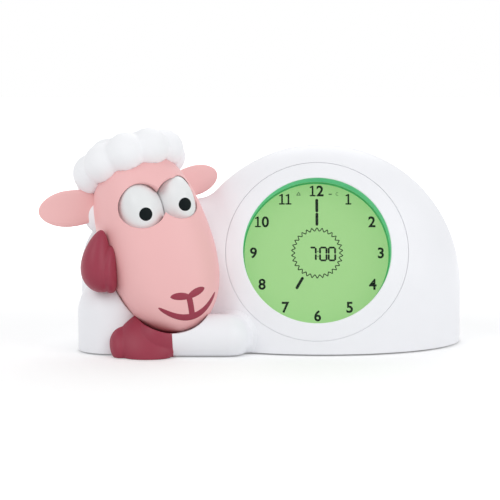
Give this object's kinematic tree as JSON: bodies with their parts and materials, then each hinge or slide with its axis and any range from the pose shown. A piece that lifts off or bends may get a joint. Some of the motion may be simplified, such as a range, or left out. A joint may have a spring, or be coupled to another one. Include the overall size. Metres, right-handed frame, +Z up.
{
  "type": "kids alarm clock",
  "caption": "Children's alarm clock and night light shaped as a lying sheep, with a round backlit dial in its flank and eyes that roll shut.",
  "frame": {"origin": "middle of the bounding box's base, on the surface that the clock stands on", "axes": "+Z up, the dial and face look towards -Y, +X to the viewer's right along the longest extent"},
  "size_m": [0.2466, 0.124, 0.1245],
  "materials": {
    "shell_white": "satin moulded ABS",
    "face_pink": "satin moulded ABS",
    "ear_pink": "satin moulded ABS",
    "berry": "satin moulded ABS",
    "eye_white": "gloss moulded ABS",
    "eye_black": "gloss moulded ABS",
    "light_green": "milky, lit from behind",
    "window": "clear polished acrylic",
    "lcd": "backlit liquid crystal panel",
    "guide": "milky acrylic",
    "circuit": "solder mask on a circuit board",
    "grey_plastic": "fine-textured ABS",
    "rubber": "soft matt rubber",
    "black_plastic": "satin moulded ABS",
    "steel": "plated sheet and bar",
    "cell_wrap": "printed sleeve on a steel can",
    "cone": "pressed paper"
  },
  "bodies": {
    "housing": {"face_shell": "face_pink", "head_back": "face_pink", "nose_and_mouth": "berry", "left_ear": "ear_pink", "right_ear": "ear_pink", "wool_cap": "shell_white", "left_eye_bearing": "grey_plastic", "right_eye_bearing": "grey_plastic", "eye_motor": "steel", "display_bezel": "shell_white", "light_ring": "light_green", "display_window": "window", "lcd_panel": "lcd", "light_guide": "guide", "backlight_board": "circuit", "display_carrier": "shell_white", "front_shell": "shell_white", "rear_shell": "shell_white", "base_plate": "grey_plastic", "left_front_foot": "rubber", "left_rear_foot": "rubber", "right_front_foot": "rubber", "right_rear_foot": "rubber", "case_screw_1": "steel", "case_screw_2": "steel", "case_screw_3": "steel", "case_screw_4": "steel", "raised_hoof": "berry", "front_hoof": "berry", "rear_panel": "shell_white", "button_board": "circuit", "power_inlet": "black_plastic", "battery_box": "grey_plastic", "cell_1": "cell_wrap", "cell_2": "cell_wrap", "cell_3": "cell_wrap", "contact_strip_left": "steel", "contact_strip_right": "steel", "main_board": "circuit", "speaker_basket": "steel", "speaker_cone": "cone"},
    "eyes": {"left_eyeball": "eye_white", "right_eyeball": "eye_white", "left_eyelid": "face_pink", "right_eyelid": "face_pink", "left_pupil": "eye_black", "right_pupil": "eye_black", "eye_axle": "grey_plastic"},
    "light_button_body": {"light_button": "grey_plastic"},
    "alarm_button_body": {"alarm_button": "grey_plastic"},
    "time_button_body": {"time_button": "grey_plastic"},
    "nap_button_body": {"nap_button": "grey_plastic"},
    "minus_button_body": {"minus_button": "grey_plastic"},
    "plus_button_body": {"plus_button": "grey_plastic"},
    "mode_switch_body": {"mode_switch": "black_plastic"},
    "battery_door_body": {"battery_door": "grey_plastic"}
  },
  "joints": [
    {"name": "eye_roll", "type": "hinge", "parent": "housing", "child": "eyes", "pos_m": [-0.05736, -0.03039, 0.08103], "axis": [0.913, 0.3551, 0.2007], "range_deg": [0, 180]},
    {"name": "light_button_press", "type": "slide", "parent": "housing", "child": "light_button_body", "axis": [0, -1, 0], "range_m": [0, 0.001], "stiffness_N_per_m": 400},
    {"name": "alarm_button_press", "type": "slide", "parent": "housing", "child": "alarm_button_body", "axis": [0, -1, 0], "range_m": [0, 0.001], "stiffness_N_per_m": 400},
    {"name": "time_button_press", "type": "slide", "parent": "housing", "child": "time_button_body", "axis": [0, -1, 0], "range_m": [0, 0.001], "stiffness_N_per_m": 400},
    {"name": "nap_button_press", "type": "slide", "parent": "housing", "child": "nap_button_body", "axis": [0, -1, 0], "range_m": [0, 0.001], "stiffness_N_per_m": 400},
    {"name": "minus_button_press", "type": "slide", "parent": "housing", "child": "minus_button_body", "axis": [0, -1, 0], "range_m": [0, 0.001], "stiffness_N_per_m": 400},
    {"name": "plus_button_press", "type": "slide", "parent": "housing", "child": "plus_button_body", "axis": [0, -1, 0], "range_m": [0, 0.001], "stiffness_N_per_m": 400},
    {"name": "mode_switch_slide", "type": "slide", "parent": "housing", "child": "mode_switch_body", "axis": [0, 0, 1], "range_m": [0, 0.004]},
    {"name": "battery_door_off", "type": "slide", "parent": "housing", "child": "battery_door_body", "axis": [0, 0, -1], "range_m": [0, 0.03]}
  ]
}
